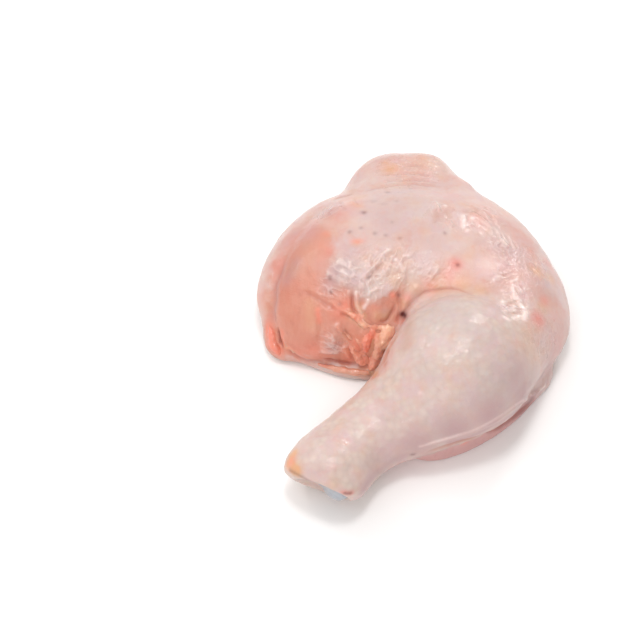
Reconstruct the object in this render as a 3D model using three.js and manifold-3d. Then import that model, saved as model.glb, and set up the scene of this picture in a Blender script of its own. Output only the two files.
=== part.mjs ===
// A raw chicken leg quarter: the thigh and its drumstick in one piece, bent at the knee, skin on.
// It lies on its inner side with the skin up, and the hock, which is cut through, points to the front left.
// Millimetres, +Z up. The origin is the middle of the leg's footprint, on the surface it lies on.

import * as THREE from 'three';
import { mergeVertices } from 'three/addons/utils/BufferGeometryUtils.js';
import Module from 'manifold-3d';

// Driving dimensions
const calfWidth = 60; // across the thick end of the drumstick
const neckWidth = 33; // across the thin stretch above the hock
const hockWidth = 34.6; // across the knuckle at the hock, skin included
const calfFlatness = 0.86; // height over width of the drumstick's section
const thighHeight = 41; // from the table to the top of the thigh
const skirtHeight = 9.5; // of the fold of skin that lies on the table beside the calf
const skirtLength = 68; // along that fold
const skirtWidth = 26; // across it, most of it under the calf
const lipHeight = 8.5; // of the lip of skin and fat that spreads on the table under the cut side
const boneLength = 104; // the shin bone, from its cap at the hock to the knee
const shaftWidth = 9.5; // across the middle of the shin bone
const capWidth = 17; // across the bone's cap, which shows in the cut hock
const kneeEndWidth = 21; // across the bone's thick end, inside the knee
const meshGap = 0.3; // clear space between the bone and the meat round it
const cell = 3.4; // size of the cells that the skin's facets come from
const slack = 1.2; // how far the drumstick's round underside sinks against the table

const at = (x, y, z) => new THREE.Vector3(x, y, z);
const { lerp, smoothstep } = THREE.MathUtils;

// Signed distances are negative inside the meat. A blend is how wide two forms flow into each other.
function joinSoftly(a, b, blend) {
  const overlap = Math.max(blend - Math.abs(a - b), 0) / blend;
  return Math.min(a, b) - (overlap * overlap * blend) / 4;
}
const cutSoftly = (a, b, blend) => -joinSoftly(-a, b, blend);

// An ellipsoid whose first radius points along the angle turn in plan, in radians
function lobe(point, centre, radii, turn = 0) {
  const local = point.clone().sub(centre).applyAxisAngle(at(0, 0, 1), -turn);
  const near = local.clone().divide(radii).length();
  const far = local.clone().divide(radii).divide(radii).length();
  return far > 1e-9 ? (near * (near - 1)) / far : -Math.min(radii.x, radii.y, radii.z);
}

// The thigh: rounded lobes, each of which flows into those before it over its blend
const thighMiddle = 10; // height of the round's widest level
const lipMiddle = 2.5;
const thighLobes = [
  // the round of the meat and its two shoulders
  { centre: at(1, 29, thighMiddle), radii: at(55, 40, thighHeight - thighMiddle), turn: 0.1, blend: 0 },
  { centre: at(26, 25, 11), radii: at(50, 32, 28), turn: -0.78, blend: 10 },
  { centre: at(-26, 28, 11), radii: at(45, 33.5, 27), turn: 0.85, blend: 10 },
  // the hip hump behind, steeper on its left
  { centre: at(1, 64, 10), radii: at(27, 28, 19), turn: 0, blend: 10 },
  { centre: at(-6.5, 66, 10), radii: at(18, 24.5, 17.5), turn: 0, blend: 4 },
  // the cut side
  { centre: at(-26, 1.2, 10), radii: at(26, 15, 18), turn: -0.12, blend: 8 },
  // the knee
  { centre: at(37.5, -6.5, 17), radii: at(25, 24, 20), turn: 0, blend: 12 },
  // the corner of flesh at the front left, and the lip under the cut side
  { centre: at(-48.5, 1.5, 5), radii: at(15.5, 10.5, 9), turn: 0.8, blend: 6 },
  { centre: at(-28, -7, lipMiddle), radii: at(27, 12, lipHeight - lipMiddle), turn: -0.3, blend: 3 },
];

function thigh(point) {
  let distance = Infinity;
  for (const { centre, radii, turn, blend } of thighLobes) {
    const form = lobe(point, centre, radii, turn);
    distance = blend ? joinSoftly(distance, form, blend) : form;
  }
  return distance;
}

// The drumstick: a limb along a line in plan, from the hock to the round of the calf
const limbPlaces = [
  { x: -39, y: -82, width: hockWidth - 3.6 },
  { x: -34.7, y: -72.5, width: hockWidth },
  { x: -24, y: -60, width: neckWidth },
  { x: -9.5, y: -49, width: 0.6 * calfWidth },
  { x: 6, y: -40, width: 0.79 * calfWidth },
  { x: 20, y: -28.3, width: calfWidth },
];
const limbSteps = 60;
const limbSlope = 0.9; // makes up for the flattening, which stretches the distances
const limbLine = new THREE.CatmullRomCurve3(limbPlaces.map(({ x, y }) => at(x, y, 0)));
const limbGirth = new THREE.SplineCurve(limbPlaces.map(({ width }, i) => new THREE.Vector2(i, width / 2)));
const limbRings = Array.from({ length: limbSteps + 1 }, (_, i) => {
  const radius = limbGirth.getPoint(i / limbSteps).y;
  const centre = limbLine.getPoint(i / limbSteps).setZ(radius * calfFlatness - slack);
  return { centre, radius };
});

const hockCut = at(-37, -80.5, 13); // middle of the face where the ankle is cut through
const hockFacing = at(-0.36, -0.84, -0.41).normalize();
const hockRounding = 4.5; // of the cut's rim

function drumstick(point) {
  let distance = Infinity;
  for (const { centre, radius } of limbRings) {
    const offset = point.clone().sub(centre);
    offset.z /= calfFlatness;
    distance = Math.min(distance, offset.length() - radius);
  }
  const pastCut = point.clone().sub(hockCut).dot(hockFacing);
  return cutSoftly(distance * limbSlope, -pastCut, hockRounding);
}

// The fold of skin and meat that shows from under the calf, on the table: a long strip and its round end
const skirtMiddle = 2;

function skirt(point) {
  const radii = at(skirtLength / 2, skirtWidth / 2, skirtHeight - skirtMiddle);
  const strip = lobe(point, at(27.5, -37.6, skirtMiddle), radii, 0.64);
  const end = lobe(point, at(46.5, -17.5, 3), at(14.5, 11.5, 8));
  return joinSoftly(strip, end, 5);
}

// Folds: lines on the surface that it sinks along, or rises along where the depth is negative
const folds = [
  // the edge of the skin where it wraps the cut side of the thigh
  {
    width: 4,
    depth: 1.8,
    route: [at(-56, -8, 8), at(-57, 5, 20), at(-55, 18, 27), at(-46, 38, 33), at(-38, 48, 33)],
  },
  // between the large bare muscle and the stringy fat beside it
  { width: 3.6, depth: 1.4, route: [at(-31, -10, 5), at(-33, -4, 20), at(-34, 3, 29), at(-35, 16, 35)] },
  // a strand of fat that runs up from the fold at the calf
  { width: 3.4, depth: -1.2, route: [at(-12, -9, 10), at(-20, -6, 23), at(-26, 0, 30)] },
  // the crease in front of the hip hump
  { width: 6, depth: 1.3, route: [at(-26, 52, 30), at(-13, 57, 30), at(0, 57, 31), at(14, 59, 30)] },
  // behind the hock's knuckle
  { width: 5, depth: 0.9, route: [at(-40, -57, 24), at(-29, -62, 30), at(-18, -70, 18)] },
];
const foldLines = folds.map(({ width, depth, route }) => {
  const line = new THREE.CatmullRomCurve3(route);
  return { width, depth, points: line.getPoints(4 * route.length) };
});
const foldReach = 2.5; // how many widths away a fold still counts

function foldDepth(point) {
  let sum = 0;
  for (const { width, depth, points } of foldLines) {
    const away = Math.min(...points.map((p) => p.distanceTo(point))) / width;
    if (away < foldReach) sum += depth * Math.exp(-away * away);
  }
  return sum;
}

// The crease between the thigh and the calf is sharp on the left, and opens out over the knee
const creaseBlend = 4.5;
const kneeBlend = 14;
const kneeFrom = 24; // the x where the crease starts to open
const kneeTo = 52; // the x where it is all gone
const skirtBlend = 4;

function leg(point) {
  const blend = lerp(creaseBlend, kneeBlend, smoothstep(point.x, kneeFrom, kneeTo));
  let distance = joinSoftly(thigh(point), drumstick(point), blend);
  distance = joinSoftly(distance, skirt(point), skirtBlend);
  if (Math.abs(distance) < 3 * cell) distance += foldDepth(point);
  return Math.max(distance, -cell - point.z); // a floor just below the table, where the boolean then cuts
}

// Surface nets: one corner in each cell that the skin passes through, pulled onto the skin, and one quad
// across each grid edge that the skin cuts.
function pullToSkin(point, distance) {
  const step = 0.05; // over which the field's slope is taken
  const gentlest = 0.1; // the least squared slope that is trusted
  const axes = [at(step, 0, 0), at(0, step, 0), at(0, 0, step)];
  for (let pass = 0; pass < 4; pass++) {
    const value = distance(point);
    const slope = at(...axes.map((axis) => distance(point.clone().add(axis)) - value)).divideScalar(step);
    point.addScaledVector(slope, -value / Math.max(slope.lengthSq(), gentlest));
  }
  return point;
}

const furthestPull = 0.45; // of a cell: a corner pulled further than that stays where it was

function skinOf(distance, low, high, size) {
  const [nx, ny, nz] = high.clone().sub(low).divideScalar(size).ceil().addScalar(1).toArray();
  const index = (i, j, k) => (k * ny + j) * nx + i;
  const place = (i, j, k) => at(low.x + i * size, low.y + j * size, low.z + k * size);
  const field = new Float32Array(nx * ny * nz);
  for (let k = 0; k < nz; k++)
    for (let j = 0; j < ny; j++)
      for (let i = 0; i < nx; i++) field[index(i, j, k)] = distance(place(i, j, k));

  const corners = [];
  const cornerOf = new Int32Array(nx * ny * nz).fill(-1);
  for (let k = 0; k < nz - 1; k++)
    for (let j = 0; j < ny - 1; j++)
      for (let i = 0; i < nx - 1; i++) {
        const crossings = [];
        for (let edge = 0; edge < 12; edge++) {
          const axis = edge >> 2;
          const first = [i, j, k];
          first[(axis + 1) % 3] += edge & 1;
          first[(axis + 2) % 3] += (edge >> 1) & 1;
          const second = [...first];
          second[axis] += 1;
          const a = field[index(...first)];
          const b = field[index(...second)];
          if (a < 0 !== b < 0) crossings.push(place(...first).lerp(place(...second), a / (a - b)));
        }
        if (!crossings.length) continue;
        const middle = crossings.reduce((sum, p) => sum.add(p), at(0, 0, 0)).divideScalar(crossings.length);
        const onSkin = pullToSkin(middle.clone(), distance);
        const strayed = onSkin.distanceTo(middle) > size * furthestPull;
        cornerOf[index(i, j, k)] = corners.push(strayed ? middle : onSkin) - 1;
      }

  const faces = [];
  const strides = [1, nx, nx * ny];
  for (let k = 1; k < nz - 1; k++)
    for (let j = 1; j < ny - 1; j++)
      for (let i = 1; i < nx - 1; i++) {
        const base = index(i, j, k);
        const inside = field[base] < 0;
        for (let axis = 0; axis < 3; axis++) {
          if (inside === field[base + strides[axis]] < 0) continue;
          const u = strides[(axis + 1) % 3];
          const v = strides[(axis + 2) % 3];
          const ring = [base - u - v, base - v, base, base - u].map((n) => cornerOf[n]);
          if (!inside) ring.reverse();
          const [a, b, c, d] = ring;
          const straight = corners[a].distanceTo(corners[c]) < corners[b].distanceTo(corners[d]);
          faces.push(...(straight ? [a, b, c, a, c, d] : [b, c, d, b, d, a]));
        }
      }
  const geometry = new THREE.BufferGeometry();
  geometry.setAttribute('position', new THREE.Float32BufferAttribute(corners.flatMap((p) => p.toArray()), 3));
  geometry.setIndex(faces);
  return geometry;
}

// Booleans
const wasm = await Module();
wasm.setup();

function toSolid(geometry) {
  const bare = geometry.clone();
  bare.deleteAttribute('normal');
  bare.deleteAttribute('uv');
  const merged = mergeVertices(bare, 1e-4);
  return new wasm.Manifold(
    new wasm.Mesh({
      numProp: 3,
      vertProperties: new Float32Array(merged.attributes.position.array),
      triVerts: new Uint32Array(merged.index.array),
    })
  );
}

function toGeometry(solid) {
  const { vertProperties, triVerts } = solid.getMesh();
  const geometry = new THREE.BufferGeometry();
  geometry.setAttribute('position', new THREE.Float32BufferAttribute(vertProperties, 3));
  geometry.setIndex(new THREE.Uint32BufferAttribute(triVerts, 1));
  geometry.computeVertexNormals();
  return geometry;
}

// The shin bone: a shaft with a rounded cap at the hock and a thick end in the knee. Its bore is the same
// form, grown by the gap.
const boneStart = at(-36.2, -80.4, 13); // the tip of the cap, just proud of the cut
const boneKnee = at(33, -15, 22);
const boneSides = 24;

function shinBone(grown) {
  const profile = [
    [0, 0],
    [0.3 * capWidth, 0.4],
    [0.44 * capWidth, 1.8],
    [0.5 * capWidth, 5],
    [0.42 * capWidth, 10],
    [0.56 * shaftWidth, 17],
    [0.5 * shaftWidth, 30],
    [0.5 * shaftWidth, 62],
    [0.6 * shaftWidth, 78],
    [0.44 * kneeEndWidth, 92],
    [0.5 * kneeEndWidth, 98],
    [0.38 * kneeEndWidth, boneLength - 2],
    [0, boneLength],
  ];
  const outline = profile.map(([radius, along], i) => {
    const end = i === 0 ? -grown : i === profile.length - 1 ? grown : 0;
    return new THREE.Vector2(radius ? radius + grown : 0, along + end);
  });
  const direction = boneKnee.clone().sub(boneStart).normalize();
  const turn = new THREE.Quaternion().setFromUnitVectors(at(0, 1, 0), direction);
  const bone = new THREE.LatheGeometry(outline, boneSides);
  return bone.applyQuaternion(turn).translate(...boneStart.toArray());
}

// What lies below the table is cut away, so the leg rests on flat patches where its meat spreads.
const gridLow = at(-82, -106, -2 * cell); // corners of the space that the leg lies in
const gridHigh = at(82, 104, 64);
const tableWidth = 300;
const tableDepth = 60;
const tableTop = new THREE.BoxGeometry(tableWidth, tableWidth, tableDepth).translate(0, 0, -tableDepth / 2);
const legSolid = toSolid(skinOf(leg, gridLow, gridHigh, cell))
  .subtract(toSolid(tableTop))
  .subtract(toSolid(shinBone(meshGap)));

const legMesh = new THREE.Mesh(
  toGeometry(legSolid),
  new THREE.MeshStandardMaterial({ color: '#e8c6bb', roughness: 0.42 })
);
legMesh.name = 'leg';

const boneMesh = new THREE.Mesh(
  toGeometry(toSolid(shinBone(0))),
  new THREE.MeshStandardMaterial({ color: '#d5cfd6', roughness: 0.35 })
);
boneMesh.name = 'shin_bone';

// The whole is moved so that the middle of its footprint is the origin.
const middle = new THREE.Box3().setFromObject(legMesh).getCenter(at(0, 0, 0)).setZ(0);
const quarter = new THREE.Group();
quarter.add(legMesh, boneMesh);
for (const mesh of quarter.children) mesh.geometry.translate(-middle.x, -middle.y, 0);

export default quarter;
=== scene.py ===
import math

import bpy
import numpy as np
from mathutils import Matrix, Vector, noise
from mathutils.bvhtree import BVHTree


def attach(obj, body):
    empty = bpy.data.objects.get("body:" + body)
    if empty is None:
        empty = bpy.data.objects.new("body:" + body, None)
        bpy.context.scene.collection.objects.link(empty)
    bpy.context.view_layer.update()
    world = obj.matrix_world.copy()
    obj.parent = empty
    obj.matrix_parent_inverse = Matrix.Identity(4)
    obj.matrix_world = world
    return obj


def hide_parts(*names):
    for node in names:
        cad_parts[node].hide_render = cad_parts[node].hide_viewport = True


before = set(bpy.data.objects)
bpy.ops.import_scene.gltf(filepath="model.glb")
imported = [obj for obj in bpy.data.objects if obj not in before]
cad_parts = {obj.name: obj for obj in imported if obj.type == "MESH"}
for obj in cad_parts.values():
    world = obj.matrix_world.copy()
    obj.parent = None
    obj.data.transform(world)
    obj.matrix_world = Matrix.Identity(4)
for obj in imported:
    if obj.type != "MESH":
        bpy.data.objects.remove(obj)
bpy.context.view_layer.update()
mm = 0.001
print("frame loaded:", sorted(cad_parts))

# The camera stands where the photograph's did, so a place in its 640 by 640 frame can be found on the leg
cameraPlace = {
    "elevation": 55,  # degrees that it looks down
    "lens": 105,  # mm, on a 36 mm sensor
    "sensor": 36,
    "distance": 0.784,  # metres to the target
    "target": (-0.0397, -0.0054, 0.020),
    "frameSize": 640,  # pixels along each side of the photograph
}


def cameraAxes():
    tilt = math.radians(cameraPlace["elevation"])
    forward = Vector((0, math.cos(tilt), -math.sin(tilt)))
    right = Vector((1, 0, 0))
    return right, right.cross(forward), forward


def makeCamera():
    right, up, forward = cameraAxes()
    data = bpy.data.cameras.new("camera")
    data.lens = cameraPlace["lens"]
    data.sensor_width = cameraPlace["sensor"]
    camera = bpy.data.objects.new("camera", data)
    bpy.context.scene.collection.objects.link(camera)
    camera.location = Vector(cameraPlace["target"]) - forward * cameraPlace["distance"]
    camera.rotation_euler = (math.radians(90 - cameraPlace["elevation"]), 0, 0)
    bpy.context.scene.camera = camera
    return camera.location.copy()


eye = makeCamera()
focal = cameraPlace["frameSize"] * cameraPlace["lens"] / cameraPlace["sensor"]
half = cameraPlace["frameSize"] / 2


def pixelsOf(points):  # where the camera sees each point
    right, up, forward = (np.array(axis) for axis in cameraAxes())
    away = points - np.array(eye)
    depth = away @ forward
    return np.stack([half + focal * (away @ right) / depth, half - focal * (away @ up) / depth], 1)


def rayTo(x, y):  # the direction from the camera to that pixel
    right, up, forward = cameraAxes()
    return (forward * focal + right * (x - half) + up * (half - y)).normalized()


# Small helpers for modelling
def pickOnly(piece):
    bpy.ops.object.select_all(action="DESELECT")
    piece.select_set(True)
    bpy.context.view_layer.objects.active = piece


def applyAll(piece):
    pickOnly(piece)
    for modifier in list(piece.modifiers):
        bpy.ops.object.modifier_apply(modifier=modifier.name)


def newPiece(name, data):
    piece = bpy.data.objects.new(name, data)
    bpy.context.scene.collection.objects.link(piece)
    return piece


def copyOfNode(node, name):  # the CAD mesh, with its loose triangles joined up
    piece = newPiece(name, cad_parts[node].data.copy())
    piece.data.materials.clear()
    pickOnly(piece)
    bpy.ops.mesh.customdata_custom_splitnormals_clear()
    bpy.ops.object.mode_set(mode="EDIT")
    bpy.ops.mesh.select_all(action="SELECT")
    bpy.ops.mesh.remove_doubles(threshold=1e-6)
    bpy.ops.object.mode_set(mode="OBJECT")
    return piece


def pointsOf(piece):
    points = np.empty(len(piece.data.vertices) * 3, np.float32)
    piece.data.vertices.foreach_get("co", points)
    return points.reshape(-1, 3).astype(float)


def normalsOf(piece):
    normals = np.empty(len(piece.data.vertices) * 3, np.float32)
    piece.data.vertex_normals.foreach_get("vector", normals)
    return normals.reshape(-1, 3).astype(float)


def setPoints(piece, points):
    piece.data.vertices.foreach_set("co", points.astype(np.float32).ravel())
    piece.data.update()


def keepMask(piece, name, values):  # a number at each point, which the materials read
    attribute = piece.data.attributes.new(name, "FLOAT", "POINT")
    attribute.data.foreach_set("value", np.clip(values, 0, 1).astype(np.float32))


def ease(low, high, values):
    t = np.clip((values - low) / (high - low), 0, 1)
    return t * t * (3 - 2 * t)


def spot(points, centre, radius):  # 1 at the centre, fading out over the radius
    return np.exp(-(np.linalg.norm(points - np.array(centre), axis=1) / radius) ** 2)


farAway = 1e9


# How far each point is from a line of points, and how far along it
def toLine(points, route, reach=farAway):
    knots = np.array([tuple(place) for place in route])
    near = np.nonzero(((points > knots.min(0) - reach) & (points < knots.max(0) + reach)).all(1))[0]
    close = points[near]
    nearest = np.full(len(points), farAway)
    along = np.zeros(len(points))
    for i in range(len(knots) - 1):
        step = knots[i + 1] - knots[i]
        t = np.clip((close - knots[i]) @ step / max(step @ step, 1e-12), 0, 1)
        gap = np.linalg.norm(close - knots[i] - t[:, None] * step, axis=1)
        closer = gap < nearest[near]
        nearest[near[closer]] = gap[closer]
        along[near[closer]] = (i + t[closer]) / (len(knots) - 1)
    return nearest, along


def inOutline(pixels, outline):  # signed distance in pixels, positive inside
    x, y = pixels[:, 0], pixels[:, 1]
    inside = np.zeros(len(pixels), bool)
    nearest = np.full(len(pixels), farAway)
    for (ax, ay), (bx, by) in zip(outline, outline[1:] + outline[:1]):
        crosses = (ay > y) != (by > y)
        with np.errstate(divide="ignore", invalid="ignore"):
            inside ^= crosses & (x < (bx - ax) * (y - ay) / (by - ay) + ax)
        length = (bx - ax) ** 2 + (by - ay) ** 2
        t = np.clip(((x - ax) * (bx - ax) + (y - ay) * (by - ay)) / length, 0, 1)
        nearest = np.minimum(nearest, np.hypot(x - ax - t * (bx - ax), y - ay - t * (by - ay)))
    return np.where(inside, nearest, -nearest)


def grainOf(points, size, seed=0, octaves=2):  # soft noise from -1 to 1 with lumps of that size in metres
    shift = Vector((seed * 7.3, seed * 3.1, seed * 5.7))
    return np.array([noise.fractal(Vector(p) / size + shift, 1.0, 2.0, octaves) for p in points])


# The leg: the CAD form at a fine pitch, with its bore closed, then smoothed
legForm = {
    "pitch": 0.5 * mm,  # between the points of the fine mesh
    "smoothing": 40,  # passes, which melt the facets
    "kneeFill": 260,  # more passes, where the thigh runs on into the calf
    "kneeFillAt": ((448, 292), (484, 304)),  # pixels, the middle of the stretch that they fill
    "kneeFillRadius": 11 * mm,
    "triangles": 190000,  # that the finished leg may have
    "finest": ((345, 330), (376, 300), (410, 275)),  # pixels, where the mesh keeps all its points
    "finestRadius": 24 * mm,
    "thinningSteps": 10,  # from the finest places to the rest
    "boneSwell": 0.5 * mm,  # the bone is grown by this to close its bore
}


def makeLegBase():
    leg = copyOfNode("leg", "leg_meat")
    plug = copyOfNode("shin_bone", "plug")
    setPoints(plug, pointsOf(plug) + normalsOf(plug) * legForm["boneSwell"])
    pickOnly(leg)
    plug.select_set(True)
    bpy.ops.object.join()
    remesh = leg.modifiers.new("fine", "REMESH")
    remesh.mode = "VOXEL"
    remesh.voxel_size = legForm["pitch"]
    smooth = leg.modifiers.new("melt", "SMOOTH")
    smooth.factor = 0.5
    smooth.iterations = legForm["smoothing"]
    applyAll(leg)
    return leg


leg = makeLegBase()
print("leg base:", len(leg.data.vertices), "points")

# Places on the leg are named by the pixel of the photograph's frame where they show
seenLeg = BVHTree.FromObject(leg, bpy.context.evaluated_depsgraph_get())


def onLeg(x, y):
    ray = rayTo(x, y)
    place = seenLeg.ray_cast(eye, ray)[0]
    if place is None:  # just past the outline: the nearest point of the leg instead
        place = seenLeg.find_nearest(eye + ray * cameraPlace["distance"])[0]
    return place


def routeOnLeg(pixels, steps=4):  # a smooth line over the surface through those pixels
    knots = [pixels[0]] + list(pixels) + [pixels[-1]]
    route = []
    for i in range(1, len(knots) - 2):
        before, start, end, after = (Vector(knots[i + k]) for k in (-1, 0, 1, 2))
        for step in range(steps):
            t = step / steps
            place = 0.5 * (
                2 * start
                + (end - before) * t
                + (2 * before - 5 * start + 4 * end - after) * t**2
                + (3 * start - before - 3 * end + after) * t**3
            )
            route.append(onLeg(*place))
    route.append(onLeg(*pixels[-1]))
    return route


def fillKnee(leg):  # the crease dies out over the knee, so the valley there is filled by smoothing
    points = pointsOf(leg)
    amount = np.zeros(len(points))
    for x, y in legForm["kneeFillAt"]:
        amount = np.maximum(amount, spot(points, onLeg(x, y), legForm["kneeFillRadius"]))
    group = leg.vertex_groups.new(name="knee")
    for i in np.nonzero(amount > 0.05)[0]:
        group.add([int(i)], float(amount[i]), "REPLACE")
    fill = leg.modifiers.new("fill", "SMOOTH")
    fill.factor = 0.5
    fill.iterations = legForm["kneeFill"]
    fill.vertex_group = group.name
    applyAll(leg)
    leg.vertex_groups.clear()


fillKnee(leg)


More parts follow.
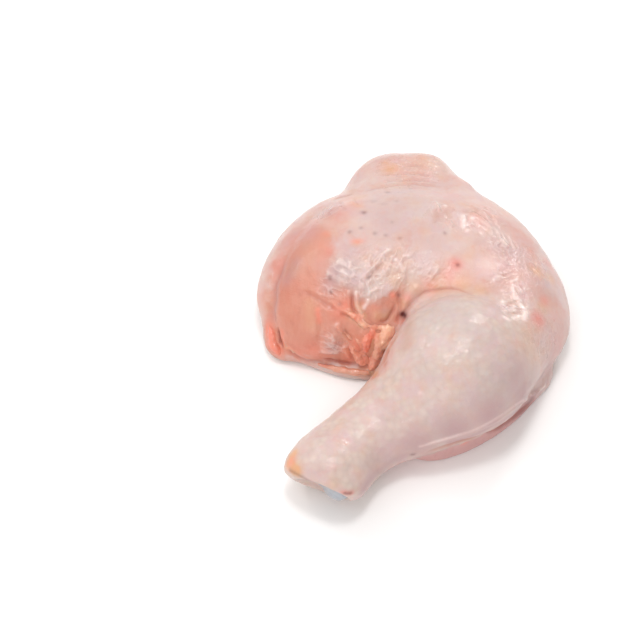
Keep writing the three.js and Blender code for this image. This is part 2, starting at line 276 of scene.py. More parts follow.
# What tints the skin, each as (radius in mm, strength, then one pixel for a spot or more for a stroke)
legTints = {
    "mauve_and_shade": [  # thin skin over dark meat, and painted shade along the calf's lower side, the shank's underside, the hem and the cut edge
        (8, 0.7, (548, 368)), (9, 0.9, (524, 394)), (9, 0.9, (490, 414)), (9, 0.9, (455, 430)),
        (9, 0.8, (418, 444)), (8, 0.5, (380, 466)),
        (3.5, 0.7, (364, 488), (378, 472), (392, 462), (408, 454)), (9, 0.2, (500, 350)),
        (8, 0.35, (388, 222)), (9, 0.35, (430, 240)), (7, 0.35, (350, 252)), (7, 0.3, (345, 270)),
        (6, 0.35, (545, 290)), (9, 0.25, (505, 262)), (5, 0.8, (328, 213)), (4, 0.5, (353, 282)),
        (12, 0.5, (520, 375)), (5, 0.3, (320, 470)), (6, 0.6, (308, 232)),
        (3, 0.5, (285, 243), (296, 232)), (4, 0.3, (320, 262)),
        (2.2, 0.6, (284, 266), (277, 285), (277, 300), (275, 315)), (3, 0.5, (296, 262), (286, 280)),
        (4, 0.6, (336, 270), (330, 285)), (3, 0.6, (334, 346)), (2, 0.5, (384, 312)),
        (3, 0.3, (556, 285)), (7, 0.6, (560, 372)),
        (2.2, 0.9, (542, 396), (515, 412), (494, 425), (470, 436), (450, 443)),
    ],
    "cool_and_shade": [  # thicker, bloodless skin, and painted shade on the calf's lower side and over the hip
        (6, 0.4, (346, 268)), (14, 0.5, (440, 312)), (12, 0.4, (470, 325)), (18, 0.4, (500, 385)),
        (16, 0.3, (452, 432)), (18, 0.25, (400, 205)), (14, 0.25, (470, 345)), (4, 0.4, (332, 342)),
        (3, 0.3, (368, 292)), (6, 0.3, (424, 352), (430, 372)),
        (2, 0.9, (296, 477), (310, 485), (322, 491)),
    ],
    "fat": [  # yellow fat that shows through thin skin
        (4, 0.7, (391, 169)), (3, 0.5, (386, 164)), (4, 0.5, (358, 197)), (4, 0.2, (330, 232)),
        (2.6, 1.5, (293, 455), (290, 463), (296, 471)), (3, 0.5, (551, 279)), (3, 0.6, (537, 272)),
        (1.6, 0.5, (357, 242)), (8, 0.3, (425, 165)), (7, 0.15, (312, 255)), (4, 0.5, (415, 288)),
        (5, 0.5, (440, 286)), (5, 0.6, (462, 284)), (4, 0.5, (480, 290)), (6, 0.1, (398, 268)),
        (9, 0.3, (530, 345)), (9, 0.3, (262, 305)), (2.5, 0.4, (404, 304)),
        (3, 0.3, (310, 303), (311, 325)), (8, 0.15, (320, 196)), (3, 0.3, (424, 231)),
        (3, 0.3, (333, 484)), (5, 0.3, (545, 305)), (4, 0.3, (503, 211)), (2, 0.8, (361, 324)),
        (2.5, 0.5, (350, 316), (357, 320)), (4, 0.4, (352, 332)), (3, 0.4, (350, 350)),
        (1.4, 0.7, (357, 305), (363, 316)), (2, 0.5, (377, 315), (388, 316)),
        (1.2, 0.6, (285, 346), (293, 351)), (3, 0.5, (395, 281)), (2, 0.5, (351, 202), (358, 205)),
        (4, 0.4, (543, 307)), (3, 0.3, (467, 257)), (1.6, 0.6, (350, 372), (376, 374)),
        (4, 0.5, (372, 340), (376, 356)),
    ],
    "blush": [  # blood close under the skin
        (3.4, 0.9, (456, 265)), (3, 0.5, (449, 274)), (8, 0.2, (560, 318)), (8, 0.35, (262, 300)),
        (9, 0.3, (292, 238)), (6, 0.4, (276, 265)), (12, 0.15, (400, 163)), (9, 0.4, (560, 345)),
        (8, 0.2, (482, 204), (502, 218), (520, 237), (534, 258)), (6, 0.3, (337, 218), (352, 204)),
        (6, 0.18, (450, 195)), (8, 0.2, (476, 270), (502, 266), (522, 277)), (3, 0.3, (404, 318)),
        (8, 0.3, (310, 228)), (3, 0.35, (347, 199)), (4, 0.8, (538, 319)), (5, 0.3, (490, 196)),
        (4, 0.3, (462, 188)), (3, 0.2, (393, 352), (387, 366)), (4, 0.4, (270, 318)),
        (1.3, 0.7, (343, 492), (351, 493)), (1.6, 0.3, (357, 241)), (4, 0.5, (548, 263)),
        (3, 0.6, (545, 300)), (3, 0.4, (352, 330)), (2, 0.4, (330, 252)),
    ],
    "coral": [  # fresh red-orange flesh
        (3, 0.9, (270, 330), (271, 342), (277, 351)), (1.4, 0.6, (283, 331), (284, 341), (289, 348)),
        (2, 0.45, (326, 235)), (2, 0.7, (466, 442)), (6, 0.5, (314, 350)), (6, 0.4, (300, 352)),
        (1.2, 0.6, (318, 310), (319, 321)), (6, 0.7, (358, 348)), (4, 0.4, (340, 312)),
        (5, 0.15, (324, 248)), (4, 0.15, (322, 258)), (1.4, 0.25, (352, 241), (362, 241)),
        (4, 0.35, (430, 286)), (5, 0.2, (450, 284)), (2, 0.4, (408, 298)), (2.5, 0.6, (291, 462)),
        (1.4, 0.7, (393, 295)), (2.4, 0.8, (369, 336)), (3, 0.5, (345, 306)),
        (2.4, 0.5, (345, 350), (349, 360)),
    ],
    "tan": [  # painted shade between folds, along the rims of the hip and the thigh and along the hem, over skin tinted by brown meat
        (1.4, 0.42, (384, 262), (379, 268), (372, 275)), (1.2, 0.35, (374, 260), (371, 266)),
        (1, 0.42, (365, 257)), (1, 0.42, (376, 277)), (1.2, 0.42, (372, 282)), (1.2, 0.35, (386, 265)),
        (1.2, 0.35, (392, 253)), (1.4, 0.35, (404, 274), (406, 283)), (1.3, 0.35, (396, 281)),
        (1, 0.42, (404, 257)), (1.2, 0.35, (372, 292), (378, 291)), (3, 0.35, (295, 270), (287, 268)),
        (1.4, 0.35, (436, 214), (434, 222)), (1.4, 0.35, (446, 213)), (1.2, 0.35, (474, 226)),
        (1.3, 0.35, (466, 212), (478, 210), (488, 216)), (1.3, 0.35, (493, 243)),
        (1.3, 0.35, (504, 252)), (1.3, 0.42, (511, 302)), (1.2, 0.42, (513, 313)),
        (1.2, 0.49, (525, 304)), (1.2, 0.35, (524, 321)), (1.3, 0.35, (487, 293)),
        (1.3, 0.35, (433, 278)), (2, 0.35, (546, 322)), (1.6, 0.28, (493, 303)),
        (1.4, 0.35, (503, 275)), (1.4, 0.28, (485, 306), (494, 304)), (2, 0.35, (325, 236)),
        (2, 0.28, (305, 245)), (1.5, 0.5, (472, 439), (452, 445.5), (432, 451)),
        (1.2, 0.49, (398, 330), (394, 340)), (4, 0.45, (410, 326), (405, 345)),
        (2.4, 0.42, (387, 319), (392, 312)), (2.2, 0.42, (372, 371), (377, 369)),
        (2, 0.35, (351, 193), (361, 175), (375, 164), (394, 159), (420, 158), (433, 164), (446, 179), (468, 192)),
        (2, 0.21, (263, 268), (285, 239), (312, 217), (345, 199)), (1.6, 0.35, (452, 291), (440, 291)),
        (2, 0.28, (364, 362)),
    ],
    "pale": [  # thick folds and strands of white tissue, and painted highlights: the glints on wet wrinkles, on the calf and on the membrane
        (1.0, 0.9, (328, 336), (334, 341)), (1.3, 0.7, (324, 350), (335, 352)),
        (1.0, 0.6, (337, 326), (341, 331)),
        (0.72, 0.8, (388, 250), (382, 256), (378, 263), (371, 269), (363, 277)),
        (0.65, 0.8, (370, 274), (364, 279)), (0.72, 0.9, (376, 289), (369, 294)),
        (0.65, 0.8, (363, 284), (363, 287)), (0.72, 0.9, (338, 262), (341, 260)),
        (0.79, 0.9, (342, 271), (346, 275)), (0.72, 0.9, (353, 276)),
        (0.58, 0.7, (350, 262), (349, 268)), (0.65, 0.8, (328, 274)), (0.65, 0.9, (392, 257)),
        (0.79, 0.9, (396, 260)), (0.65, 0.8, (391, 265)), (0.65, 0.8, (388, 269)),
        (0.65, 0.9, (401, 265), (403, 271)), (0.79, 0.8, (408, 256)), (0.58, 0.6, (413, 263)),
        (0.58, 0.6, (366, 261)), (0.86, 0.9, (435, 203), (438, 208)), (0.79, 0.7, (445, 206)),
        (0.86, 0.8, (449, 222), (452, 226)), (1.3, 0.8, (463, 217), (464, 226)), (1.4, 0.8, (472, 219)),
        (0.94, 0.8, (467, 231)), (0.72, 0.7, (478, 219), (491, 228)),
        (0.72, 0.5, (480, 213), (487, 217)), (0.72, 0.6, (501, 240), (508, 246)),
        (0.65, 0.5, (495, 237)), (0.86, 0.8, (495, 280), (500, 277)),
        (0.79, 0.8, (511, 282), (517, 280)), (0.94, 0.7, (512, 286), (514, 296), (520, 300)),
        (1.2, 0.9, (503, 302)), (1.2, 0.9, (514, 306)), (1.1, 0.9, (521, 305), (525, 309)),
        (0.86, 0.8, (506, 311)), (1.2, 0.9, (505, 317), (508, 319)),
        (0.94, 0.8, (514, 318), (520, 316)), (1.2, 1.0, (526, 313), (524, 319)),
        (0.72, 0.5, (437, 274)), (0.7, 0.5, (471, 321)), (0.7, 0.7, (467, 351)), (0.6, 0.3, (459, 342)),
        (0.8, 0.35, (437, 328)), (0.9, 0.3, (420, 393)), (0.8, 0.3, (428, 345)), (0.8, 0.3, (445, 357)),
        (0.86, 0.9, (329, 337), (335, 342)), (0.65, 0.7, (332, 345), (338, 347)),
        (0.86, 0.7, (325, 351), (334, 352)), (0.72, 0.7, (334, 335)),
        (0.94, 0.6, (337, 325), (342, 331)), (0.86, 0.5, (356, 293), (357, 305), (361, 313)),
        (0.86, 0.6, (368, 301), (364, 308)), (0.65, 0.4, (329, 307)), (5, 0.35, (490, 265)),
        (0.72, 0.4, (412, 272)),
        (0.58, 0.5, (545, 386), (515, 405), (494, 419), (474, 429.5), (453, 436.5), (420, 446)),
    ],
    "blood": [  # dark spots: clots and follicles
        (0.9, 0.7, (457.5, 265.5)), (1.4, 1.8, (403, 315)), (1.1, 0.8, (398.6, 295)),
        (1.0, 0.7, (413, 454)), (1.0, 0.5, (388, 192)), (1.2, 0.5, (364, 212.5)),
        (0.9, 0.3, (361, 228)), (1.0, 0.4, (349.6, 232)), (1.0, 0.3, (375, 233)),
        (0.9, 0.25, (385.6, 235)), (1.0, 0.3, (373.6, 201)), (0.9, 0.25, (384.5, 203.6)),
        (0.8, 0.2, (392, 222)), (0.9, 0.35, (445, 233)), (0.9, 0.25, (400, 238)),
        (0.8, 0.2, (396, 201)), (0.9, 0.5, (330, 278)), (0.9, 0.5, (331, 292)),
        (1.3, 0.3, (538, 403), (515, 417), (498, 428)), (0.9, 0.8, (280, 342), (279, 333)),
        (0.8, 0.6, (345, 493), (350, 493)), (0.9, 0.4, (290, 470), (303, 478), (320, 487), (334, 494)),
        (0.8, 0.6, (384, 347)), (0.8, 0.5, (388, 352)), (0.8, 0.5, (379, 359)), (0.9, 0.4, (368, 277)),
        (1.2, 0.4, (363, 358)), (1.0, 0.3, (340, 304)),
    ],
}

# The relief of the skin and the bare meat. Widths and depths are mm, and a negative depth is a ridge
legRelief = {
    "grooves": {  # route in pixels, width, depth, how soft the ends are, and how dark it is painted inside: painted shade in the crease, partly the meat's own red
        "calf crease": (
            [(397, 330), (400, 322), (404, 314), (411, 304), (419, 297)], 0.9, 0.9, 0.3, 0.25),
        "calf edge": (
            [(411, 304), (419, 296), (428, 291), (443, 290), (460, 291), (478, 298)], 0.7, 0.6, 0.25, 0.4),
        "hem shadow": (
            [(546, 392), (527, 407), (503, 425), (478, 436), (455, 444), (414, 457)], 1.2, 1.1, 0.25, 0.5),
        "hem": (
            [(548, 385), (515, 406.5), (494, 421), (474, 431), (453, 438), (413, 451)], 0.9, -0.8, 0.1, 0),
        "cut edge": (
            [(276, 330), (274, 316), (276, 300), (275, 286), (283, 262), (298, 238)], 1.8, 0.7, 0.3, 0.25),
        # painted shade only, where the skin's edge overhangs the meat
        "brown shade band": ([(304, 238), (291, 260), (284, 286), (282, 308)], 4.5, 0, 0.3, 0.25),
        "muscle gap": ([(283, 350), (280.5, 342), (279, 335), (278.5, 326)], 0.8, 2.0, 0.35, 1),
        "lobe end": ([(286, 348), (294, 354), (310, 361), (326, 362)], 1.0, 0.9, 0.3, 0.4),
        "muscle seam": (
            [(300, 290), (309, 294), (320, 300), (329, 306), (338, 309)], 1.1, 0.5, 0.25, 0.35),
        "second seam": ([(319, 352), (321, 338), (322, 324), (318, 310)], 1.8, 0.6, 0.3, 0),
        "film edge": ([(306, 263), (309, 271), (315, 279), (324, 284)], 0.8, -0.3, 0.3, 0),
        "lip shadow": ([(320, 359), (333, 361), (345, 363.5), (358, 364.5)], 0.8, 0.8, 0.25, 0.8),
        "long strand": (
            [(356, 290), (357, 303), (361, 313), (367, 321), (376, 327)], 1.0, -1.1, 0.2, 0),
        "strand shadow": ([(353, 289), (352.5, 300), (353, 308), (358, 316)], 0.7, 1.0, 0.3, 0.6),
        "beaded strand": (
            [(329, 301), (338, 308), (346, 312), (354, 315), (361, 321)], 1.0, -0.8, 0.2, 0),
        "bead shadow": ([(340, 313), (346, 316), (352, 319)], 0.7, 0.6, 0.3, 0.3),
        "pink cord": ([(336, 324), (341, 330), (347, 338), (353, 344), (360, 352)], 1.2, -1.3, 0.15, 0),
        "cord shadow": ([(343, 328), (348, 335), (353, 342)], 0.8, 0.8, 0.3, 0.4),
        "short cord": ([(343, 345), (347, 352), (350, 360)], 1.0, -0.8, 0.25, 0),
        "short cord shadow": ([(349, 345), (351, 353), (353, 361)], 0.7, 0.4, 0.3, 0.2),
        "brown gap": ([(378, 321), (386, 321), (391, 314), (397, 303)], 0.8, 0.9, 0.3, 0.5),
        "fat edge": ([(395, 328), (391, 337), (387, 346), (382, 354), (377, 361)], 0.7, 1.0, 0.25, 0.7),
        "strip edge": ([(398, 296), (400, 305), (399, 316), (396, 324)], 0.8, 0.8, 0.25, 0.25),
        "peach strip": ([(421, 284), (410, 295), (403, 306), (399, 318)], 1.6, -0.8, 0.2, 0),
        "first ridge": (
            [(388, 249), (382, 256), (378, 263), (371, 269), (362, 279)], 0.9, -0.5, 0.2, 0),
        "ridge shadow": ([(384, 262), (379, 268), (373, 275), (368, 282)], 1.0, 0.3, 0.3, 0.1),
        "second ridge": ([(394, 252), (390, 262), (387, 270), (383, 280)], 0.9, -0.3, 0.3, 0),
        "first dash": ([(433, 201), (437, 207), (440, 213)], 0.8, -0.9, 0.3, 0),
        "second dash": ([(447, 219), (450, 223), (453, 228)], 0.8, -0.8, 0.3, 0),
        "first wave": ([(462, 203), (472, 207), (482, 213), (489, 219)], 0.8, -0.7, 0.3, 0),
        "second wave": ([(466, 212), (476, 216), (484, 221), (492, 228)], 0.8, -0.8, 0.3, 0),
        "third wave": ([(476, 208), (486, 213), (494, 221)], 0.8, 0.5, 0.3, 0.1),
        "short wave": ([(499, 238), (504, 243), (509, 249)], 0.8, -0.8, 0.3, 0),
        "hip fold": ([(362, 193), (378, 187), (398, 184), (420, 184), (441, 188)], 1.3, 0.6, 0.2, 0.1),
        "middle hip fold": ([(380, 182), (398, 179), (420, 180), (442, 184)], 0.9, 0.5, 0.25, 0.1),
        "upper hip fold": ([(372, 177), (392, 173), (415, 173), (438, 177)], 0.9, 0.5, 0.25, 0.05),
        "top hip fold": ([(396, 166), (410, 165), (424, 167)], 0.9, 0.5, 0.3, 0.1),
        "shoulder fold": ([(330, 202), (338, 197), (346, 195), (354, 193)], 0.9, 0.5, 0.3, 0.25),
        "short fold": ([(339, 200), (342, 206), (346, 212)], 0.8, 0.4, 0.3, 0.2),
        "orange fold": ([(353, 196), (356, 201), (359, 206)], 0.8, 0.3, 0.3, 0.1),
        "knuckle fold": ([(297, 447), (312, 452), (326, 462)], 3.0, 0.4, 0.3, 0),
    },
    "swells": [  # the middle of each rounded muscle or pad, its radius and how far it stands up
        {"at": (299, 322), "radius": 14, "height": 1.6},
        {"at": (302, 345), "radius": 9, "height": 0.9},
        {"at": (332, 341), "radius": 5, "height": 1.2},
        {"at": (379, 308), "radius": 6, "height": 1.4},
        {"at": (372, 345), "radius": 9, "height": 1.0},
        {"at": (264, 300), "radius": 8, "height": 0.7},
        {"at": (324, 244), "radius": 8, "height": 0.7},
        {"at": (330, 460), "radius": 8, "height": 0.7},
        {"at": (452, 281), "radius": 9, "height": 0.8},
        {"at": (364, 170), "radius": 9, "height": 1.1},
        {"at": (355, 181), "radius": 8, "height": 1.2},
        {"at": (395, 157), "radius": 12, "height": 0.8},
        {"at": (431, 161), "radius": 8, "height": 2.1},
        {"at": (446, 171), "radius": 7, "height": 1.0},
        {"at": (461, 187), "radius": 9, "height": 3.2},
    ],
    "crinkles": [  # which way the fine folds run, in pixels, and how far apart they are
        {"at": (376, 265), "along": (-24, 30), "radius": 9, "spacing": 3.1, "depth": 0.30},
        {"at": (345, 270), "along": (14, 9), "radius": 7, "spacing": 2.9, "depth": 0.41},
        {"at": (399, 262), "along": (-8, 26), "radius": 8, "spacing": 2.9, "depth": 0.39},
        {"at": (368, 290), "along": (-4, 26), "radius": 6, "spacing": 2.9, "depth": 0.39},
        {"at": (396, 283), "along": (-12, 22), "radius": 6, "spacing": 3.1, "depth": 0.28},
        {"at": (441, 215), "along": (10, 22), "radius": 8, "spacing": 4.2, "depth": 0.22},
        {"at": (468, 223), "along": (8, 16), "radius": 5, "spacing": 2.9, "depth": 0.44},
        {"at": (484, 218), "along": (22, 15), "radius": 9, "spacing": 3.4, "depth": 0.28},
        {"at": (500, 244), "along": (14, 22), "radius": 8, "spacing": 3.4, "depth": 0.33},
        {"at": (500, 280), "along": (16, -9), "radius": 7, "spacing": 3.4, "depth": 0.30},
        {"at": (517, 292), "along": (8, 20), "radius": 7, "spacing": 3.1, "depth": 0.39},
        {"at": (514, 310), "along": (20, 4), "radius": 7, "spacing": 3.0, "depth": 0.55},
        {"at": (435, 276), "along": (14, -12), "radius": 6, "spacing": 3.0, "depth": 0.33},
        {"at": (408, 172), "along": (30, 0), "radius": 14, "spacing": 3.9, "depth": 0.14},
        {"at": (326, 212), "along": (18, -16), "radius": 7, "spacing": 3.4, "depth": 0.22},
        {"at": (334, 342), "along": (14, 8), "radius": 6, "spacing": 3.1, "depth": 0.50},
        {"at": (333, 285), "along": (14, 10), "radius": 7, "spacing": 3.4, "depth": 0.33},
        {"at": (528, 262), "along": (14, 20), "radius": 12, "spacing": 4.7, "depth": 0.17},
        {"at": (540, 330), "along": (4, 20), "radius": 12, "spacing": 4.7, "depth": 0.17},
    ],
    "paleHeight": 0.5,  # of the pale strokes that are painted on: strands, folds and painted highlights
    "crinkleShape": {
        "stretch": 2.8,  # how much longer than wide the folds are
        "warpSize": 5,  # mm, of the bends in them
        "warp": 0.5,  # how far they bend, of the spacing
        "steepness": 3.4,
        "sharpness": 1.3,  # of the crests
        "hollows": 0.35,  # how deep the wide hollows are, of the crests' height
    },
    "crestHighlight": 1.6,  # how strongly a crest is painted pale, as a painted highlight
    "hollowShade": 2.2,  # how strongly a hollow is painted dark, as painted shade
    "wetReach": 1.3,  # of a crinkle's radius
    "bareWet": 0.5,  # how wet the bare meat is
    "quietBelow": (0.5, 4),  # mm above the rest, where the relief fades in
    "lumps": {"size": 15, "depth": 0.5},  # the soft unevenness of flesh under skin
    "ripples": {"size": 4.5, "depth": 0.14},
    "tucks": {"spacing": 6, "depth": 0.45, "below": 15, "flatten": 0.25},  # where the skin turns under
    "cells": {"size": 3.3, "depth": 0.32, "middle": 0.45},  # feather follicles on the drumstick
    "bareStep": 0.5,  # how much lower the bare meat lies than the skin's edge
    "fibres": {"at": (300, 300), "along": (-4, 30), "spacing": 2.3, "depth": 0.04, "squeeze": 0.88},
}

# The bare meat at the cut side of the thigh, as the camera sees its edge
bareOutline = [
    (314, 226), (326, 229), (333, 240), (331, 256), (328, 270), (336, 282), (349, 291), (360, 299),
    (372, 301), (385, 298), (396, 291), (403, 290), (404, 305), (399, 318), (392, 336), (386, 350),
    (380, 366), (374, 376), (357, 366), (325, 361), (298, 356), (264, 357), (263, 330), (271, 320),
    (271, 300), (274, 270), (286, 250), (300, 233),
]
bareEdge = {
    "ragged": 5,  # pixels, how far the edge wanders
    "raggedSize": 4,  # mm, of its scallops
    "softness": 7,  # pixels, over which the skin thins out to nothing
    "topSoftness": 4,  # that much softer at the top, where the skin thins out gradually
    "topRows": (295, 255),  # pixel rows, from where the edge is firm to where it is soft
    "fadeRows": (295, 250),
    "topFade": 0.3,  # how much less bare the meat looks there
}

# The drumstick's line, from the hock to the round of the calf: a place and a half width, in mm
drumstickLine = [
    (-41, -85, 13, 16),
    (-36, -76, 13, 17),
    (-26, -63, 13, 17),
    (-11, -52, 14, 18),
    (4, -43, 19, 24),
    (18, -31, 25, 30),
]
drumstickFade = (0.92, 1.12)  # of that width, where its skin gives way to the thigh's
hock = {
    "face": (-38.5, -83.1, 13.2),  # the middle of the cut face, in mm
    "facing": (-0.36, -0.84, -0.41),
    "across": 24,  # of the hollow that holds the bone's cap
    "hollow": 1.8,  # how deep it is
    "floor": 0.76,  # of that width, the flat floor of the hollow
    "reach": 4,  # mm, how far behind the face it works
}


def stroke(points, radius, places):  # 1 on a spot or a stroke of that radius in mm, fading out round it
    route = routeOnLeg(places) if len(places) > 1 else [onLeg(*places[0])] * 2
    gap = toLine(points, route, reach=2.5 * radius * mm)[0]
    return np.exp(-((gap / (radius * mm)) ** 2))


def crinkle(points, normals, zone):  # crumpled folds of wet skin round one place, from about -0.3 to 1
    centre = np.array(onLeg(*zone["at"]))
    shape = legRelief["crinkleShape"]
    x, y = zone["at"]
    along = np.array(onLeg(x + zone["along"][0] * 0.3, y + zone["along"][1] * 0.3)) - centre
    along /= np.linalg.norm(along)
    away = np.linalg.norm(points - centre, axis=1) / (zone["radius"] * mm)
    near = np.nonzero(away < 2)[0]
    local = points[near] - centre
    up = normals[near].mean(0)
    across = np.cross(up, along)
    stretch = shape["stretch"]
    across = local @ across / np.linalg.norm(across)
    flow = np.stack([local @ along / stretch, across, local @ up / stretch], 1)
    spacing = zone["spacing"] * mm
    warp = grainOf(points[near], shape["warpSize"] * mm, seed=1, octaves=1) * shape["warp"] * spacing
    ridge = 1 - np.abs(grainOf(flow + warp[:, None], spacing, seed=x)) * shape["steepness"]
    crest = np.maximum(ridge, 0) ** shape["sharpness"]
    ridge = np.where(ridge > 0, crest, shape["hollows"] * ridge)  # narrow folds with wide hollows
    folds = np.zeros(len(points))
    folds[near] = ridge * np.exp(-(away[near] ** 2))
    return folds


def drumstickMask(points):
    line = [Vector(p[:3]) * mm for p in drumstickLine]
    gap, along = toLine(points, line)
    girth = np.interp(along, np.linspace(0, 1, len(line)), [p[3] * mm for p in drumstickLine])
    return 1 - ease(*drumstickFade, gap / girth)


def shapeLeg(leg):
    points, normals = pointsOf(leg), normalsOf(leg)
    pixels = pixelsOf(points)
    facing = ease(-0.1, 0.25, normals @ -np.array(rayTo(half, half)))
    height = np.zeros(len(points))
    quietLow, quietHigh = legRelief["quietBelow"]
    upper = ease(quietLow * mm, quietHigh * mm, points[:, 2])

    lumps, ripples, cells = legRelief["lumps"], legRelief["ripples"], legRelief["cells"]
    height += grainOf(points, lumps["size"] * mm, seed=2) * lumps["depth"] * mm
    height += grainOf(points, ripples["size"] * mm, seed=3) * ripples["depth"] * mm

    scallops = grainOf(points, bareEdge["raggedSize"] * mm, seed=4, octaves=3)
    inside = inOutline(pixels, bareOutline) + bareEdge["ragged"] * scallops
    atTop = ease(*bareEdge["topRows"], pixels[:, 1])
    softness = bareEdge["softness"] + bareEdge["topSoftness"] * atTop
    fade = 1 - bareEdge["topFade"] * ease(*bareEdge["fadeRows"], pixels[:, 1])
    bare = ease(-softness, softness, inside) * facing * fade
    limb = drumstickMask(points) * (1 - bare)
    cell = np.array([noise.voronoi(Vector(p) / (cells["size"] * mm))[0][0] for p in points])
    height += (cells["middle"] - cell) * cells["depth"] * mm * limb
    height -= bare * legRelief["bareStep"] * mm

    tucks = legRelief["tucks"]
    upright = points * (1, 1, tucks["flatten"])
    low = ease(tucks["below"] * mm, 0.5 * tucks["below"] * mm, points[:, 2]) * (1 - limb)
    folds = (1 - np.abs(grainOf(upright, tucks["spacing"] * mm, seed=6))) ** 3
    height -= folds * tucks["depth"] * mm * low

    for swell in legRelief["swells"]:
        height += spot(points, onLeg(*swell["at"]), swell["radius"] * mm) * swell["height"] * mm
    # Fold crests get a painted highlight and fold hollows painted shade
    crests, hollows = np.zeros(len(points)), np.zeros(len(points))
    for zone in legRelief["crinkles"]:
        folds = crinkle(points, normals, zone) * facing * zone["depth"]
        height += folds * mm
        crests = np.maximum(crests, folds * legRelief["crestHighlight"])
        hollows = np.maximum(hollows, folds * -legRelief["hollowShade"])
    # The pale strokes, white tissue and painted highlights alike, also stand up a little
    for radius, strength, *places in legTints["pale"]:
        height += strength * stroke(points, radius, places) * legRelief["paleHeight"] * mm

    fibres = legRelief["fibres"]
    x, y = fibres["at"]
    end = onLeg(x + fibres["along"][0], y + fibres["along"][1])
    along = np.array((end - onLeg(x, y)).normalized())
    squeezed = points - np.outer(points @ along, along) * fibres["squeeze"]  # long in one direction
    height += grainOf(squeezed, fibres["spacing"] * mm, seed=5) * fibres["depth"] * mm * bare

    # the stain in each groove is painted shade, partly the meat's own red
    creaseShadeAndStain = np.zeros(len(points))
    for route, width, depth, fade, stain in legRelief["grooves"].values():
        gap, along = toLine(points, routeOnLeg(route), reach=3 * width * mm)
        cut = np.exp(-((gap / (width * mm)) ** 2)) * ease(0, fade, along) * ease(0, fade, 1 - along)
        height -= cut * depth * mm
        creaseShadeAndStain = np.maximum(creaseShadeAndStain, cut * stain)

    points = points + normals * (height * upper)[:, None]

    outward = Vector(hock["facing"]).normalized()
    away = points - np.array(hock["face"]) * mm
    proud = away @ np.array(outward)
    across = np.linalg.norm(away - proud[:, None] * np.array(outward), axis=1)
    rim = 0.5 * hock["across"] * mm
    hollow = 1 - ease(hock["floor"] * rim, rim, across)
    sink = np.where(proud > -hock["reach"] * mm, np.maximum(proud + hock["hollow"] * mm, 0), 0) * hollow
    points -= sink[:, None] * np.array(outward)
    setPoints(leg, points)
    wet = np.zeros(len(points))
    for zone in legRelief["crinkles"]:
        reach = legRelief["wetReach"] * zone["radius"] * mm
        wet = np.maximum(wet, spot(points, onLeg(*zone["at"]), reach))
    wet = np.maximum(wet, legRelief["bareWet"] * bare)
    keepMask(leg, "wet", wet)
    # painted highlight on the fold crests and painted shade in the fold hollows
    keepMask(leg, "crest", crests)
    keepMask(leg, "hollow", hollows)
    keepMask(leg, "bare", bare)
    keepMask(leg, "limb", limb)
    # painted shade in the grooves, partly the meat's own red
    keepMask(leg, "crease", creaseShadeAndStain)


shapeLeg(leg)
bpy.ops.object.shade_smooth()
print("leg shaped")


def toLinear(hexColour):  # "#rrggbb" to the linear values that a shader needs
    parts = [int(hexColour[i:i + 2], 16) / 255 for i in (1, 3, 5)]
    return [p / 12.92 if p <= 0.04045 else ((p + 0.055) / 1.055) ** 2.4 for p in parts] + [1]


# The thin flap under the calf, as the camera sees it
flapOutline = [
    (552, 388), (540, 396), (515, 409), (494, 424), (470, 435), (450, 442), (430, 448), (402, 456),
    (380, 470), (400, 475), (440, 466), (480, 455), (520, 425), (552, 395),
]
flapHeight = (11 * mm, 7 * mm)  # above the rest, where the flap's colour fades in


def paint(piece, allTints):  # one mask for each kind of tint
    points = pointsOf(piece)
    for name, tints in allTints.items():
        tint = np.zeros(len(points))
        for radius, strength, *places in tints:
            tint = np.maximum(tint, stroke(points, radius, places) * strength)
        keepMask(piece, name, tint)


def paintLeg(leg):
    points = pointsOf(leg)
    paint(leg, legTints)
    flap = ease(-1.5, 1.5, inOutline(pixelsOf(points), flapOutline))
    keepMask(leg, "flap", flap * ease(*flapHeight, points[:, 2]))


paintLeg(leg)


def lightenLeg(leg):  # fewer triangles, but none fewer at the cut, where the detail is finest
    points = pointsOf(leg)
    finest = np.zeros(len(points))
    for place in legForm["finest"]:
        finest = np.maximum(finest, spot(points, onLeg(*place), legForm["finestRadius"]))
    group = leg.vertex_groups.new(name="free")
    steps = legForm["thinningSteps"]
    levels = np.floor((1 - finest) * 0.9999 * steps)
    for level in range(steps):  # one call for the points of each step
        chosen = np.nonzero(levels == level)[0]
        group.add([int(i) for i in chosen], (level + 1) / steps, "REPLACE")
    triangles = sum(len(face.vertices) - 2 for face in leg.data.polygons)
    thin = leg.modifiers.new("thin", "DECIMATE")
    thin.ratio = legForm["triangles"] / triangles
    thin.vertex_group = group.name
    thin.vertex_group_factor = 4
    applyAll(leg)
    leg.vertex_groups.clear()


lightenLeg(leg)
print("leg made of", len(leg.data.polygons), "faces")


def addNode(tree, kind, settings=None, **links):  # links are named for the sockets, with _ for a space
    node = tree.nodes.new("ShaderNode" + kind)
    for name, value in (settings or {}).items():
        setattr(node, name, value)
    for name, value in links.items():
        numbered = name[0] == "i" and name[1:].isdigit()  # i0, i1 and so on, where sockets share a name
        socket = node.inputs[int(name[1:]) if numbered else name.replace("_", " ")]
        if isinstance(value, bpy.types.NodeSocket):
            tree.links.new(value, socket)
        else:
            socket.default_value = value
    return node.outputs[0]


def newMaterial(name, sockets):  # sockets are set on the shader itself
    material = bpy.data.materials.new(name)
    material.use_nodes = True
    shader = material.node_tree.nodes["Principled BSDF"]
    for socket, value in sockets.items():
        shader.inputs[socket].default_value = value
    return material, material.node_tree, shader


def mixColours(tree, low, high, amount):
    node = tree.nodes.new("ShaderNodeMix")
    node.data_type = "RGBA"
    for socket, value in ((node.inputs[0], amount), (node.inputs[6], low), (node.inputs[7], high)):
        if isinstance(value, bpy.types.NodeSocket):
            tree.links.new(value, socket)
        elif isinstance(value, str):
            socket.default_value = toLinear(value)
        else:
            socket.default_value = value
    return node.outputs[2]


